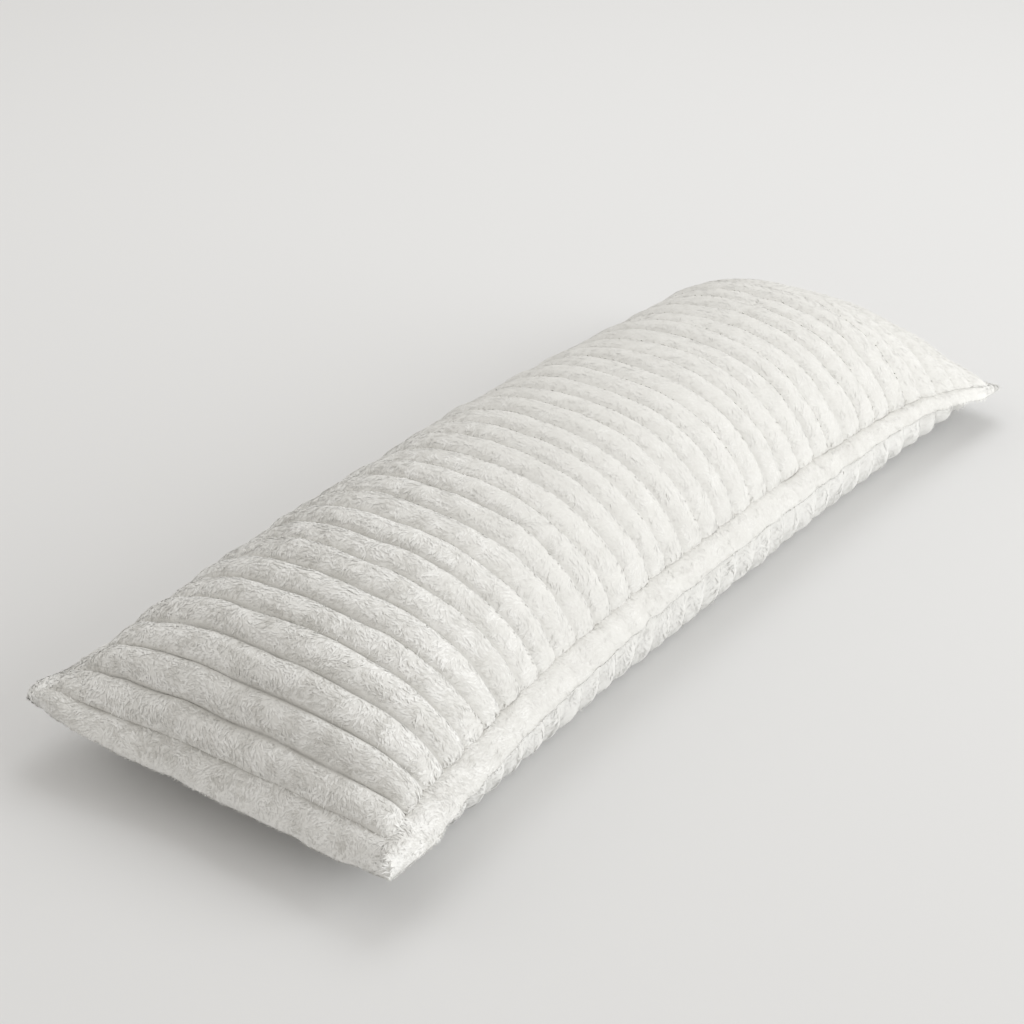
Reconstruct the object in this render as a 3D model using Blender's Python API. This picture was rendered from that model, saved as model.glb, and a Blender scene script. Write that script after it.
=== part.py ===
"""A body pillow: one filled, ribbed plush body and the unfilled flange round its seam.

Metres, +Z up. The pillow lies on z = 0 with its length along X and its front long side
towards -Y. The body is two panels, top and bottom, sewn to each other along one seam that
runs all round it. Rounded ribs run across both panels with a narrow channel between each two.
"""

import math

import bmesh
import bpy
from mathutils import Vector

# Driving sizes of the cover and its ribs
SEAM_LENGTH = 1.31
RIB_COUNT = 35
RIB_HEIGHT = 0.0115  # of a rib's crest above the channels beside it, on the top
BASE_RIB_HEIGHT = 0.009  # the same underneath, where the weight presses the ribs flat
SCALLOP = 0.003  # how far each rib's end pushes the seam outwards
END_PULL = 0.010  # how far the filling draws each end seam in, half-way across
PIECE_GAP = 0.0004  # between the body's seam edge and the flange's root

# How a rib bows towards the pillow's nearer end, half-way across
BOW_MIDDLE = -0.005
BOW_AT_ENDS = 0.023

# How uneven the sewing and the filling are. Each sway is a sine along the ribs, whose turn is
# in radians a rib.
PITCH_SWAY = 0.0014
PITCH_SWAY_TURN = 1.9
PITCH_SWAY_START = 0.4
RIB_SWAY = 0.10  # share of a rib's height
RIB_SWAY_TURN = 2.4
RIB_SWAY_START = 0.7

# Grid of each panel. The ends of the two panels' grids meet along the seam.
STEPS_ACROSS = 14
RIB_STATIONS = (0.0, 0.14, 0.5, 0.86)  # shares of one rib's pitch

# The seam and the crown, a row for each station along the pillow, near end first.
# share: place along the seam's length. seam: height of the seam above the surface.
# half: half of the width between the side seams. crown: rise of the top above the seam.
LENGTHWISE = (
    # share, seam, half, crown
    (-0.50, 0.082, 0.2285, 0.000),
    (-0.472, 0.087, 0.2240, 0.025),
    (-0.443, 0.093, 0.2190, 0.053),
    (-0.40, 0.098, 0.2130, 0.079),
    (-0.32, 0.104, 0.2040, 0.099),
    (-0.15, 0.110, 0.1940, 0.110),
    (0.05, 0.108, 0.1910, 0.110),
    (0.25, 0.095, 0.1890, 0.104),
    (0.36, 0.085, 0.1960, 0.098),
    (0.42, 0.071, 0.2040, 0.076),
    (0.46, 0.059, 0.2130, 0.055),
    (0.50, 0.045, 0.2245, 0.000),
)

# The bottom panel in section, a row for each grid line from the middle out to the seam.
# across: share of the half width. height: share of the seam's height. rib: how much of the
# ribs' height is left.
BELLY = (
    # across, height, rib
    (0.00, 0.00, 1.0),
    (0.30, 0.00, 1.0),
    (0.58, 0.00, 1.0),
    (0.83, 0.00, 1.0),
    (0.975, 0.11, 1.0),
    (1.035, 0.38, 0.95),
    (1.015, 0.74, 0.4),
    (1.00, 1.00, 0.0),
)

# The flange, a row for each corner and each side's middle, in order round the pillow.
# droop: degrees below level. width: seam to outer edge. puff: half of its thickness.
FLANGE = (
    # droop, width, puff
    (42.0, 0.041, 0.0080),  # near front corner
    (45.0, 0.036, 0.0072),  # front side
    (22.0, 0.026, 0.0070),  # far front corner
    (34.0, 0.036, 0.0072),  # far end
    (26.0, 0.030, 0.0075),  # far back corner
    (42.0, 0.036, 0.0072),  # back side
    (34.0, 0.032, 0.0075),  # near back corner
    (52.0, 0.040, 0.0080),  # near end
)
CORNER_REACH = 0.05  # length of side over which the flange turns to point at its corner
FLANGE_LUMP = 0.16  # how much fuller the flange is beside a rib than beside a channel
END_LUMP_PITCH = 0.064  # of the slight lumps of the end flanges, which lie along a rib
END_LUMP_DEPTH = 0.3

# The flange in section, from its root on the top round its outer edge to its root below.
# out: share of the width. up: share of the puff.
FLANGE_SECTION = (
    (0.00, 0.12),
    (0.34, 1.00),
    (0.76, 0.80),
    (1.00, -0.05),
    (0.52, -0.85),
    (0.00, -0.06),
)

# Shape of the crown and the ribs in section
CROWN_POWER = 2.5
CROWN_POWER_AT_ENDS = 3.2
CROWN_END_ZONE = 0.2  # share of half the length over which the crown takes its end shape
CROWN_ROUNDING = 0.78
RIB_POWER = 2.4
RIB_ROUNDING = 0.6
RIB_END_POWER = 12  # the higher, the more sudden a rib's round end at the seam
BASE_RIB_FLATNESS = 1.6

# How the ends of the pillow are shaped. The higher a power, the closer to the end seam.
BOW_POWER = 8
PULL_ZONE = 0.16  # share of half the length over which an end seam is drawn in
NEAR_LIFT_POWER = 9  # of the underside's lift from the surface up to the end seam
FAR_LIFT_POWER = 6
SETTLE = 0.002  # how far the weight presses the lowest ribs flat on the surface

NORMAL_STEP = 0.004  # a small step along a panel, as a share of its length or half width
WELD = 0.0001

# The seam's corners as (station, line), near front first and once round, and the way that
# the side starting at each of them faces
LAST_STATION = RIB_COUNT * len(RIB_STATIONS)
CORNERS = ((0, -1), (LAST_STATION, -1), (LAST_STATION, 1), (0, 1))
FACING = ((0, -1, 0), (1, 0, 0), (0, 1, 0), (-1, 0, 0))

PLUSH_COLOUR = (0.86, 0.85, 0.82, 1.0)
FLANGE_COLOUR = (0.88, 0.87, 0.84, 1.0)
PLUSH_ROUGHNESS = 0.95


def blend(table, column, share):
    """A smooth curve through one column of a table whose first column is the share."""
    last = len(table) - 1
    row = next((i for i in range(last) if share <= table[i + 1][0]), last - 1)
    low, high = table[row], table[row + 1]
    before = table[row - 1] if row > 0 else low
    after = table[row + 2] if row + 2 <= last else high
    span = high[0] - low[0]
    t = min(max((share - low[0]) / span, 0.0), 1.0)
    slope_low = (high[column] - before[column]) / (high[0] - before[0]) * span
    slope_high = (after[column] - low[column]) / (after[0] - low[0]) * span
    start = (2 * t**3 - 3 * t**2 + 1) * low[column] + (t**3 - 2 * t**2 + t) * slope_low
    end = (3 * t**2 - 2 * t**3) * high[column] + (t**3 - t**2) * slope_high
    return start + end


def ease(t):
    """0 to 1 with level ends."""
    t = min(max(t, 0.0), 1.0)
    return t * t * (3 - 2 * t)


def rib_profile(place):
    """0 in the channels and 1 on the crest, for a place counted in ribs."""
    across_rib = abs(2 * (place % 1.0) - 1)
    return (1 - across_rib**RIB_POWER) ** RIB_ROUNDING if across_rib < 1 else 0.0


def rib_fullness(place):
    """Each rib is filled a little more or less than the next."""
    return 1 + RIB_SWAY * math.sin(RIB_SWAY_TURN * math.floor(place) + RIB_SWAY_START)


def place_of(station):
    """Place in ribs of a grid line along the pillow."""
    rib, step = divmod(station, len(RIB_STATIONS))
    return rib + RIB_STATIONS[step]


def share_of(place):
    """Place along the seam as a share, with the channels a little unevenly sewn."""
    share = place / RIB_COUNT - 0.5
    inner = 1 - (2 * share) ** BOW_POWER
    sway = PITCH_SWAY * math.sin(PITCH_SWAY_TURN * place + PITCH_SWAY_START)
    return share + inner * sway / SEAM_LENGTH


def lengthwise(share, across):
    """X of a point. across runs from -1 at the front seam to 1 at the back seam."""
    middle = 1 - across**2
    bow = (BOW_MIDDLE + BOW_AT_ENDS * 2 * share) * (1 - abs(2 * share) ** BOW_POWER)
    pull = END_PULL * ease(1 - (1 - abs(2 * share)) / PULL_ZONE)
    return share * SEAM_LENGTH + middle * (bow - math.copysign(pull, share))


def top_base(share, across):
    """The top panel's channels as a surface, without its ribs."""
    half = blend(LENGTHWISE, 2, share)
    to_end = ease(1 - (1 - abs(2 * share)) / CROWN_END_ZONE)
    power = CROWN_POWER + (CROWN_POWER_AT_ENDS - CROWN_POWER) * to_end
    arch = (1 - min(abs(across), 1.0) ** power) ** CROWN_ROUNDING
    height = blend(LENGTHWISE, 1, share) + blend(LENGTHWISE, 3, share) * arch
    return Vector((lengthwise(share, across), across * half, height))


def belly_at(lines):
    """The row of BELLY for a distance from the middle, counted in grid lines."""
    row = min(int(lines), len(BELLY) - 2)
    t = lines - row
    return [low + (high - low) * t for low, high in zip(BELLY[row], BELLY[row + 1])]


def across_of(line):
    """Grid lines lie closer together towards the side seams. line runs from -1 to 1."""
    return math.sin(math.pi / 2 * line)


def bottom_base(share, line):
    """The bottom panel's channels as a surface, without its ribs."""
    half = blend(LENGTHWISE, 2, share)
    seam = blend(LENGTHWISE, 1, share)
    power = NEAR_LIFT_POWER if share < 0 else FAR_LIFT_POWER
    full = math.sqrt(max(1 - abs(2 * share) ** power, 0.0))
    across, height, _ = belly_at(abs(line) * (len(BELLY) - 1))
    edge = abs(across_of(line))
    sideways = math.copysign(edge + (across - edge) * full, line)
    lift = (BASE_RIB_HEIGHT - SETTLE) * (1 - height)
    raised = lift + (seam - lift) * (height + (1 - height) * (1 - full))
    return Vector((lengthwise(share, sideways), sideways * half, raised))


def upright(surface, share, across):
    """Unit normal of a surface at a point, on its upper side, by small steps along it."""
    u = min(max(share, NORMAL_STEP - 0.5), 0.5 - NORMAL_STEP)
    v = min(max(across, NORMAL_STEP - 1), 1 - NORMAL_STEP)
    along = surface(u + NORMAL_STEP, v) - surface(u - NORMAL_STEP, v)
    over = surface(u, v + NORMAL_STEP) - surface(u, v - NORMAL_STEP)
    return along.cross(over).normalized()


def seam_scallop(place, across):
    """Sideways push of the seam beside a rib."""
    return math.copysign(SCALLOP * rib_profile(place) * abs(across) ** RIB_END_POWER, across)


def top_point(station, line):
    """A grid point of the top panel, its ribs raised."""
    place = place_of(station)
    share = share_of(place)
    across = across_of(line)
    to_seam = math.sqrt(1 - abs(across) ** RIB_END_POWER)
    rise = RIB_HEIGHT * rib_profile(place) * rib_fullness(place) * to_seam
    point = top_base(share, across) + upright(top_base, share, across) * rise
    point.y += seam_scallop(place, across)
    return point


def bottom_point(station, line):
    """A grid point of the bottom panel, its ribs raised downwards and flat where they rest."""
    place = place_of(station)
    share = share_of(place)
    rib = belly_at(abs(line) * (len(BELLY) - 1))[2]
    rise = BASE_RIB_HEIGHT * rib * min(BASE_RIB_FLATNESS * rib_profile(place), 1.0)
    point = bottom_base(share, line) - upright(bottom_base, share, line) * rise
    point.y += seam_scallop(place, across_of(line))
    point.z = max(point.z, 0.0)
    return point


def plush(name, colour):
    material = bpy.data.materials.new(name)
    material.use_nodes = True
    shader = material.node_tree.nodes["Principled BSDF"]
    shader.inputs["Base Color"].default_value = colour
    shader.inputs["Roughness"].default_value = PLUSH_ROUGHNESS
    shader.inputs["Metallic"].default_value = 0.0
    return material


def new_object(name, mesh, collection, colour):
    made = bpy.data.objects.new(name, mesh)
    mesh.materials.append(plush(name, colour))
    mesh.shade_smooth()
    collection.objects.link(made)
    return made


def add_panel(shell, point_at):
    """One panel of the cover: a flat grid whose points are moved to their places."""
    grid = bmesh.ops.create_grid(shell, x_segments=LAST_STATION, y_segments=STEPS_ACROSS, size=1)
    for vertex in grid["verts"]:
        station = round((vertex.co.x + 1) / 2 * LAST_STATION)
        line = round((vertex.co.y + 1) / 2 * STEPS_ACROSS) * 2 / STEPS_ACROSS - 1
        vertex.co = point_at(station, line)


def make_body(collection):
    """The top and bottom panels, sewn to each other along the seam."""
    shell = bmesh.new()
    add_panel(shell, top_point)
    add_panel(shell, bottom_point)
    bmesh.ops.remove_doubles(shell, verts=shell.verts, dist=WELD)
    bmesh.ops.recalc_face_normals(shell, faces=shell.faces)
    mesh = bpy.data.meshes.new("pillow")
    shell.to_mesh(mesh)
    shell.free()
    return new_object("pillow", mesh, collection, PLUSH_COLOUR)


def seam_stations():
    """(station, line) of each point of the seam, once round from the near front corner."""
    lines = [2 * step / STEPS_ACROSS - 1 for step in range(STEPS_ACROSS + 1)]
    front = [(station, -1) for station in range(LAST_STATION)]
    far_end = [(LAST_STATION, line) for line in lines[:-1]]
    back = [(station, 1) for station in range(LAST_STATION, 0, -1)]
    near_end = [(0, line) for line in reversed(lines[1:])]
    return front + far_end + back + near_end


def flange_row(side, along):
    """Droop, width and puff, from a side's number and the share of the way along it."""
    corner, middle = FLANGE[2 * side], FLANGE[2 * side + 1]
    if along > 0.5:
        corner = FLANGE[(2 * side + 2) % len(FLANGE)]
    weight = ease(2 * min(along, 1 - along))
    return [a + (b - a) * weight for a, b in zip(corner, middle)]


def flange_point(station, line, step):
    """A point of the flange's section beside one point of the seam."""
    seam = top_point(station, line)
    side = side_of(station, line)
    ends = [top_point(*corner) for corner in CORNERS]
    start, end = ends[side], ends[(side + 1) % 4]
    run = (end - start).length
    passed = min((seam - start).length, run)
    droop, width, puff = flange_row(side, passed / run)
    nearer = side - 1 if passed < run / 2 else (side + 1) % 4
    turn = ease(1 - min(passed, run - passed) / CORNER_REACH) / 2
    out = Vector(FACING[side]).lerp(Vector(FACING[nearer]), turn).normalized()
    beside_rib = rib_profile(place_of(station)) if side in (0, 2) else end_lump(passed)
    fuller = 1 + FLANGE_LUMP * (beside_rib - 0.5) * (1 - 2 * turn)
    down = math.radians(droop)
    root = seam + out * PIECE_GAP / math.cos(turn * math.pi / 2)
    reach, rise = FLANGE_SECTION[step]
    if reach == 0:
        return root + Vector((0, 0, rise * puff))
    forward = out * math.cos(down) - Vector((0, 0, math.sin(down)))
    upward = out * math.sin(down) + Vector((0, 0, math.cos(down)))
    return root + (forward * reach * width + upward * rise * puff) * fuller


def make_flange(collection):
    """A strip laid round the seam: its two ends meet, and its section closes on itself."""
    stations = seam_stations()
    round_seam, round_section = len(stations), len(FLANGE_SECTION)
    shell = bmesh.new()
    strip = bmesh.ops.create_grid(
        shell, x_segments=round_seam, y_segments=round_section, size=1
    )
    for vertex in strip["verts"]:
        number = round((vertex.co.x + 1) / 2 * round_seam) % round_seam
        step = round((vertex.co.y + 1) / 2 * round_section) % round_section
        vertex.co = flange_point(*stations[number], step)
    bmesh.ops.remove_doubles(shell, verts=shell.verts, dist=WELD)
    bmesh.ops.recalc_face_normals(shell, faces=shell.faces)
    mesh = bpy.data.meshes.new("flange")
    shell.to_mesh(mesh)
    shell.free()
    return new_object("flange", mesh, collection, FLANGE_COLOUR)


def side_of(station, line):
    """0 front, 1 far end, 2 back, 3 near end; each corner belongs to the side it starts."""
    if line == -1 and station < LAST_STATION:
        return 0
    if station == LAST_STATION and line < 1:
        return 1
    return 2 if line == 1 and station > 0 else 3


def end_lump(passed):
    """The end flanges run along a rib, so they are only gently uneven."""
    return 0.5 + END_LUMP_DEPTH * math.sin(passed / END_LUMP_PITCH * 2 * math.pi)


def stand_on_origin(pieces):
    """The middle of the whole pillow's box over the origin, its lowest points on z = 0."""
    points = [vertex.co for piece in pieces for vertex in piece.data.vertices]
    middle = Vector(
        (max(p[axis] for p in points) + min(p[axis] for p in points)) / 2 for axis in (0, 1)
    )
    lowest = min(p.z for p in points)
    shift = Vector((middle.x, middle.y, lowest))
    for piece in pieces:
        for vertex in piece.data.vertices:
            vertex.co -= shift


def main():
    for old in list(bpy.data.objects):
        bpy.data.objects.remove(old)
    collection = bpy.data.collections.new("body_pillow")
    bpy.context.scene.collection.children.link(collection)
    stand_on_origin([make_body(collection), make_flange(collection)])


main()
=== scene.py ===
"""Looks of a ribbed plush body pillow, laid out as an add-on that is run as a script.

The solid model holds two nodes: the filled body and the unfilled flange round its seam. Here
each gets a fine cloth skin that lies a pile's depth inside its solid, and the pile itself
grows from the skins as small leaf-shaped locks, so that the tips reach the solids' surface.
Everything is in metres, +Z up, with the pillow's length along X and its front side at -Y.
"""

import math
from functools import lru_cache
from itertools import product

import bpy
import numpy as np
from bpy.props import FloatProperty, FloatVectorProperty, IntProperty, PointerProperty
from mathutils import Matrix, Vector


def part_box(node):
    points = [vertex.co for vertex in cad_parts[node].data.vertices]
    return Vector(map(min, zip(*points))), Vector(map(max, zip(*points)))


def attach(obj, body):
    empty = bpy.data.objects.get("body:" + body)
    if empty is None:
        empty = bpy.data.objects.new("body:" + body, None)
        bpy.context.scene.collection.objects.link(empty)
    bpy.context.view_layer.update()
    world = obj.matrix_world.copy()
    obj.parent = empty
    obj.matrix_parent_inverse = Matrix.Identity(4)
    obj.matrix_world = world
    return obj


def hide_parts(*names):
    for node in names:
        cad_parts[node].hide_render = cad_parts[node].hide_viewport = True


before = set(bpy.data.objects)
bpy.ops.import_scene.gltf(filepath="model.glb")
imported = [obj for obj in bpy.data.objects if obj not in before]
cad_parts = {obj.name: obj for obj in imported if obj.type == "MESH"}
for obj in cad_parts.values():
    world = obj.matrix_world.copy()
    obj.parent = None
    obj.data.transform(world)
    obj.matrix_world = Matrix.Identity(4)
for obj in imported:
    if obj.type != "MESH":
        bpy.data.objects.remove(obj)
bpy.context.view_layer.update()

bl_info = {
    "name": "Ribbed Body Pillow",
    "version": (1, 0, 0),
    "blender": (4, 5, 0),
    "location": "View3D > Sidebar > Pillow",
    "description": "Dresses a body pillow's solids in ribbed plush",
    "category": "Add Mesh",
}

BODY = "root"

# ---- Shape of the pillow, the same as its solids have ----

SEAM_LENGTH = 1.31
RIB_COUNT = 35
RIB_HEIGHT = 0.0115
BASE_RIB_HEIGHT = 0.009
SCALLOP = 0.003
END_PULL = 0.010
BOW_MIDDLE = -0.005
BOW_AT_ENDS = 0.023
PITCH_SWAY = 0.0014
PITCH_SWAY_TURN = 1.9
PITCH_SWAY_START = 0.4
RIB_SWAY = 0.10
RIB_SWAY_TURN = 2.4
RIB_SWAY_START = 0.7

# The seam and the crown, a row for each station along the pillow, near end first.
# share: place along the seam's length. seam: height of the seam above the surface.
# half: half of the width between the side seams. crown: rise of the top above the seam.
LENGTHWISE = (
    (-0.50, 0.082, 0.2285, 0.000),
    (-0.472, 0.087, 0.2240, 0.025),
    (-0.443, 0.093, 0.2190, 0.053),
    (-0.40, 0.098, 0.2130, 0.079),
    (-0.32, 0.104, 0.2040, 0.099),
    (-0.15, 0.110, 0.1940, 0.110),
    (0.05, 0.108, 0.1910, 0.110),
    (0.25, 0.095, 0.1890, 0.104),
    (0.36, 0.085, 0.1960, 0.098),
    (0.42, 0.071, 0.2040, 0.076),
    (0.46, 0.059, 0.2130, 0.055),
    (0.50, 0.045, 0.2245, 0.000),
)

# The bottom panel in section, in even steps from the middle out to the seam.
# step: share of the way. across: share of the half width. height: share of the seam's
# height. rib: how much of the ribs' height is left.
BELLY = (
    (0 / 7, 0.00, 0.00, 1.0),
    (1 / 7, 0.30, 0.00, 1.0),
    (2 / 7, 0.58, 0.00, 1.0),
    (3 / 7, 0.83, 0.00, 1.0),
    (4 / 7, 0.975, 0.11, 1.0),
    (5 / 7, 1.035, 0.38, 0.95),
    (6 / 7, 1.015, 0.74, 0.4),
    (7 / 7, 1.00, 1.00, 0.0),
)

# The flange, a row for each corner and each side's middle, in order round the pillow.
# droop: degrees below level. width: seam to outer edge. puff: half of its thickness.
FLANGE = (
    (42.0, 0.041, 0.0080),  # near front corner
    (45.0, 0.036, 0.0072),  # front side
    (22.0, 0.026, 0.0070),  # far front corner
    (34.0, 0.036, 0.0072),  # far end
    (26.0, 0.030, 0.0075),  # far back corner
    (42.0, 0.036, 0.0072),  # back side
    (34.0, 0.032, 0.0075),  # near back corner
    (52.0, 0.040, 0.0080),  # near end
)
CORNER_REACH = 0.05

# The flange in section, from its root on the top round its outer edge to its root below.
# way: share of the way round. out: share of the width. up: share of the puff.
FLANGE_SECTION = (
    (0.00, 0.00, 0.12),
    (0.17, 0.34, 1.00),
    (0.38, 0.76, 0.80),
    (0.52, 1.00, -0.05),
    (0.78, 0.52, -0.85),
    (1.00, 0.00, -0.06),
)

CROWN_POWER = 2.5
CROWN_POWER_AT_ENDS = 3.2
CROWN_END_ZONE = 0.2
CROWN_ROUNDING = 0.78
RIB_POWER = 2.4
RIB_ROUNDING = 0.6
RIB_END_POWER = 12
BASE_RIB_FLATNESS = 1.6
BOW_POWER = 8
PULL_ZONE = 0.16
NEAR_LIFT_POWER = 9
FAR_LIFT_POWER = 6
SETTLE = 0.002
NORMAL_STEP = 0.004

# ---- Fineness and unevenness of the skins, which the solids don't share ----

RIB_STEPS = (0.0, 0.035, 0.09, 0.18, 0.32, 0.5, 0.68, 0.82, 0.91, 0.965)
LINES_ACROSS = 96
FLANGE_STEPS = 18
NOISE_CELLS = 48
SEAM_INSET = 0.0025  # the skins meet this far inside the solids' seam
FLOOR_GAP = 0.0006
RESTING = 0.001  # the cloth rests where it is no higher than this above its lowest

# A pair says where something starts on its scale and how far on it is full.
NEAR_END = (-0.48, -0.14)  # metres along the pillow, and so for the far end
FAR_END = (0.42, 0.2)
STANDING = (0.5, 0.2)  # shares of the way from the bottom's middle to where its ribs stand free

LUMP_SIZES = (0.060, 0.024)  # of the filling's lumps and of the cloth's unevenness
LUMP_HEIGHTS = (0.0013, 0.0008)
WANDER = (0.0019, 0.0014, 0.0009)  # how far the whole cover strays from the solids
WANDER_SIZE = 0.052
FINE_SIZE = 0.4  # of finer strays next to these, and their height
FINE_HEIGHT = 0.45
NEAR_WANDER = 0.3  # how much further the cover strays at the near end
CHANNEL_FILL = 0.0043  # how much shallower the channels are where the pile is calm

FLANGE_CHANNEL = 0.06  # how much thinner the flange is beside a channel
FLANGE_SCALLOP = 0.0008  # and how much narrower
EVENED = 0.85  # how much of the seam's scallops its outer part evens out
EVENED_FROM = 0.4  # of its width
MEAN_PROFILE = 0.7  # a rib's profile on average
FLANGE_PILE = 0.85  # share of the pile's depth by which each of its faces lies deeper
END_LUMPS = (0.064, 0.75, 0.2)  # pitch, middle and swing of its lumps along the ends
FLANGE_LUMP_SIZE = 0.021
FLANGE_LUMP_HEIGHT = 0.0018
BACK_TUFT = 0.012  # how much thicker its near corners are, at the back and in front
FRONT_TUFT = 0.0055
TUFT_DROOP = 24.0  # how much further its near back corner hangs down, in degrees
TUFT_CUT = 0.008  # how much blunter its near back and far front corners are
CORNER_TUFT = (0.76, 0.18)  # shares of the way to an end, times those to a side

# Where the cover is pressed together, with shorter, sparser pile and painted shade: shares of a rib
# from its middle, and of the way across.
CHANNEL = (0.80, 0.20)
SEAM_CREASE = 0.024
PUCKER = 0.050
END_CREASE = 0.14
# The flange's crease along its seam is painted shade only: its reach, and how much further it
# reaches where a channel ends.
FLANGE_CREASE = 0.16
FLANGE_PUCKER = 1.5
UNDER_CREASE = 0.30  # the bottom panel's channels, next to the top's: their shorter pile and painted shade

# The filling: a cloth simulation on a coarser cover, held along its channels and seam.
FILL_STEPS = 6  # grid steps a rib
FILL_LINES = 40
FILL_FRAMES = 20
FILL_REACH = 0.004  # no point moves further than this
FILL_SETTINGS = {
    "vertex_group_mass": "held",
    "quality": 6,
    "mass": 0.1,  # of each point
    "shrink_min": -0.002,  # the cover is cut a little wider than its filling
    "tension_stiffness": 8.0,
    "compression_stiffness": 8.0,
    "use_pressure": True,
    "uniform_pressure_force": 4.0,
}

# ---- Pile ----

PILE_PIECES = ("pile_near", "pile_middle", "pile_far")
CLOTH_NAP = (0.0007, 210.0)  # height and fineness of the fibres in the cloth's bump
LOCK_NAP = (0.0003, 420.0)

# The pile is lively, curly and mottled, at the near end and along the back side. Further on
# it is calm and lies combed flat. FULL and CALM say what each has. A CALM value with no
# partner is a share of what the lively pile has.
LIVELY_END = (-0.56, 0.55)
LIVELY_SLANT = 1.2  # it ends sooner towards the front side
# The middle tones are painted light: lighter where the pile is lively, on the near end and back side
# away from the key lamp, and darker where it is calm, on the lit front and far side.
FULL_PAINTED_LIGHT_TONE = 0.66
CALM_PAINTED_LIGHT_TONE = 0.38
FULL_PANEL = 0.25  # how far pile is shaded as its panel faces, and not as its rib does
CALM_PANEL = 0.55
CALM_CONTRAST = 0.15  # of the tones
CALM_HEIGHT = 0.22
CALM_SHAPE = 0.3  # of the locks' ridges and of how their sides are shaded
CALM_NAP = 0.3  # of the fibres' height in the bump
CALM_RISE = 0.1  # of a lock's height, where its tip ends
CALM_CREASE = 0.30  # of the creases' painted shade, and of their sparser pile
PAINTED_BOUNCE_HEIGHTS = (0.075, -0.03)  # heights below which painted bounce light from the floor lightens the pile
PAINTED_BOUNCE_LIGHT = 0.28  # painted bounce light: what is added to the tone low down

# Where the pile closes over a crease, and how much painted shade darkens what is left of the crease.
CLOSED_SIZE = 0.016
CLOSED = (0.8, 0.8, 0.15)  # middle, swing and least of what is left
CREASE_PAINTED_SHADE_TIP = 0.8
CREASE_PAINTED_SHADE = 0.6

# One lock of pile: five points, and six faces between them. Its own numbers are shares of
# its length, width or height.
LOCK_FACES = ((0, 2, 1), (0, 3, 2), (0, 1, 3), (4, 1, 2), (4, 2, 3), (4, 3, 1))
LOCK_UNDERSIDE = (LOCK_FACES[0], LOCK_FACES[3])
LOCK_MIDDLE = 0.42
LOCK_SWELL = 0.8
LOCK_WISP = 0.3
LOCK_ROOTING = 0.12
LOCK_RIDGE = 0.14
LOCK_RISES = (0.5, 1.35)
LOCK_CURL = 0.22
TUFT_CURL = 0.4  # how much more the locks of a tuft curl
LOCK_BEND = (-30.0, 80.0)  # per metre, how far a lock follows the cloth's own bend
LOCK_ROLL = 0.08  # how far a lock's sides are shaded as turned from the cloth's own facing
LOCK_FACING = 0.25  # its shading keeps at least this much of its own faces' direction
UNDER_LAY = 0.8  # the underside is shaded as facing along the lay and away from the cloth
UNDER_AWAY = 0.55
UNDER_TUFT = 0.6  # and upwards in a tuft
LOCK_TIP = 0.6  # brightness of a lock, and its change over the five points: painted shade at the root, deep in the pile, and painted light towards the tip
LOCK_TIPS = (-0.6, 0.0, 0.0, 0.1, 0.4)
LOCK_TONES = 0.55  # how far single locks differ in tone
PATCH_SIZE = 0.017

# The nap: which way it lies, in radians, and how far and over what sizes it swirls.
NAP_TURN = -2.3
NAP_SPREAD = 0.25
SWIRLS = ((1.9, 0.030), (1.3, 0.011))
NAP_ALONG = 0.8
NAP_EDGE = (0.45, 0.5)  # shares of half a rib: beyond them the pile leans out of the channel
NAP_EDGE_LESS = 0.8
NAP_EDGE_LEAN = 0.9

# Locks' lengths, widths and heights as drawn between two shares, and how much less pressed.
BODY_LOCKS = ((0.75, 1.25, 0.45), (0.7, 1.3, 0.3), (0.12, 0.38, 0.6))
FLANGE_LOCKS = ((0.7, 1.25, 0.45), (0.65, 1.15, 0.35), (0.12, 0.34, 0.0))
BODY_RIM = (0.93, 0.06)  # shares of the way across
RIM_LEAN = 2.0  # how far the pile leans away from the seam, and outwards at the far end
FAR_LEAN = 2.5
UNDERSIDE = (0.02, -0.012)  # heights of the pile pressed flat underneath, and which way it faces
FACING_DOWN = (-0.3, -0.5)
UNDERSIDE_LESS = 0.72
CREASE_LESS = 0.8
NEAR_MORE = 0.15  # how much denser the pile is at the near end, and how far that falls
ALONG_LESS = 0.30
ALONG = (-0.65, 1.0)
WISP = 0.0035  # height of the single locks that stand out at the far end
WISP_CHANCE = 0.35
WISP_LEAST = 0.2
FLANGE_WISP = 0.4

FLANGE_ROOT = 0.10  # share of its width over which the flange's pile starts
TUFT_DENSITY = 1.6
FLANGE_RIM = (0.7, 0.3)
FLANGE_FAR = (0.93, 0.05)  # shares of the way to the far end and to the back side
FLANGE_BACK = (0.75, 0.25)
FLANGE_LEAN = 0.5  # outwards, and down
FLANGE_SAG = 0.25
FACING_UP = (-0.5 / 1.2, 1 / 1.2)
UNDER_FLUFF = 0.3  # height of the locks that face down, next to the others
# How much longer the flange's locks are in places, how much further out they lean, and how
# much fluffier they are: in the near tufts, all tufts, at the far end and along the back.
FLANGE_PLACES = ((0.15, 0.0, 0.0), (0.0, 0.2, 0.4), (0.05, 0.0, 0.3), (0.0, 1.6, -0.35))

# ---- Studio ----

CAMERA_PLACE = (-2.23743, -1.51212, 1.58054)
CAMERA_TURN = 0.62226
CAMERA_DIP = 0.50827
SKY_COLOUR = (1.0, 0.972, 0.93, 1.0)
LAMP_COLOUR = (0.965, 0.985, 1.0)
LAMP_AIM = (0.0, 0.0, 0.1)
# Name, place and size of each lamp.
LAMPS = (
    ("key", (1.9, -5.2, 2.1), 4.4),
    ("top", (1.9, 0.7, 3.1), 2.6),
    ("back", (-1.5, 3.6, 2.4), 3.0),
)

# ---- Formulas of the shape ----


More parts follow.
